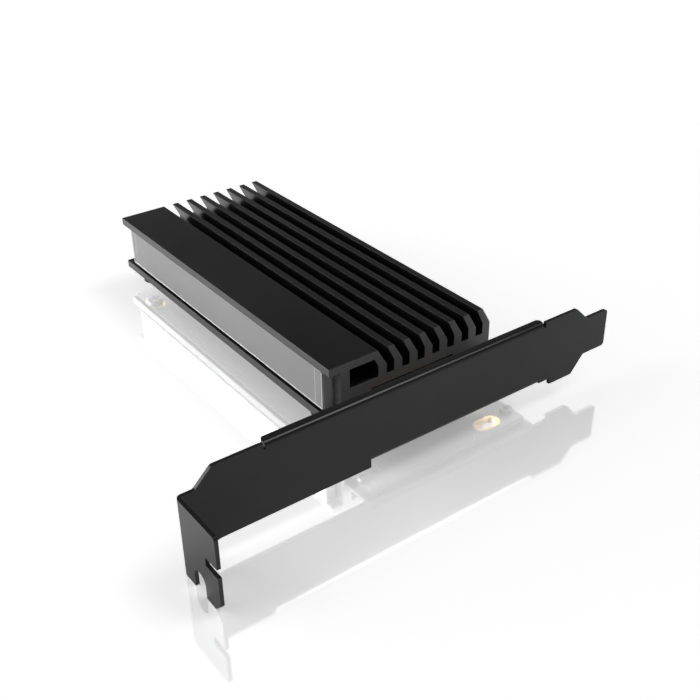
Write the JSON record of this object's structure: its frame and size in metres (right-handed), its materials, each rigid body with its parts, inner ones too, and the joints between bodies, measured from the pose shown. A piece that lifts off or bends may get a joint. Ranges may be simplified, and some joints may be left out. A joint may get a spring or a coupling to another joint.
{
  "type": "nvme adapter card",
  "caption": "Slot-in adapter card that carries one stick-type solid state drive under a finned black heatsink with a light bar, behind a folded slot bracket.",
  "frame": {"origin": "centre of the key notch in the card edge, at the contact edge, half way through the board", "axes": "+X into the host's slot, +Y along the card away from the bracket, +Z out of the component side"},
  "size_m": [0.12, 0.1362, 0.0232],
  "materials": {
    "solder_mask": "satin",
    "bare_copper": "satin",
    "gold_plating": "polished",
    "socket_plastic": "matte",
    "contact_metal": "satin",
    "standoff_metal": "satin",
    "screw_steel": "satin",
    "black_screw": "satin",
    "drive_board": "satin",
    "chip_plastic": "matte",
    "capacitor_ceramic": "matte",
    "inductor_ferrite": "matte",
    "resistor_body": "satin",
    "thermal_pad": "matte",
    "anodised_aluminium": "satin",
    "frosted_acrylic": "frosted",
    "lamp_lens": "satin",
    "painted_bracket": "satin"
  },
  "bodies": {
    "root": {"circuit_board": "solder_mask", "thermal_copper": "bare_copper", "slot_rings": "gold_plating", "edge_contacts": "gold_plating", "m2_socket": "socket_plastic", "socket_front_contacts": "contact_metal", "socket_rear_contacts": "contact_metal", "m2_standoff": "standoff_metal", "m2_screw": "screw_steel", "ssd_board": "drive_board", "ssd_edge_contacts": "gold_plating", "ssd_capacitors": "capacitor_ceramic", "ssd_inductors": "inductor_ferrite", "memory_chip_near": "chip_plastic", "cache_chip": "chip_plastic", "controller_chip": "chip_plastic", "memory_chip_far": "chip_plastic", "lower_thermal_pad": "thermal_pad", "upper_thermal_pad": "thermal_pad", "heatsink": "anodised_aluminium", "light_bar": "frosted_acrylic", "light_leds": "lamp_lens", "heatsink_screws": "black_screw", "bracket": "painted_bracket", "bracket_screws": "black_screw", "board_capacitors": "capacitor_ceramic", "board_resistors": "resistor_body"}
  },
  "joints": []
}
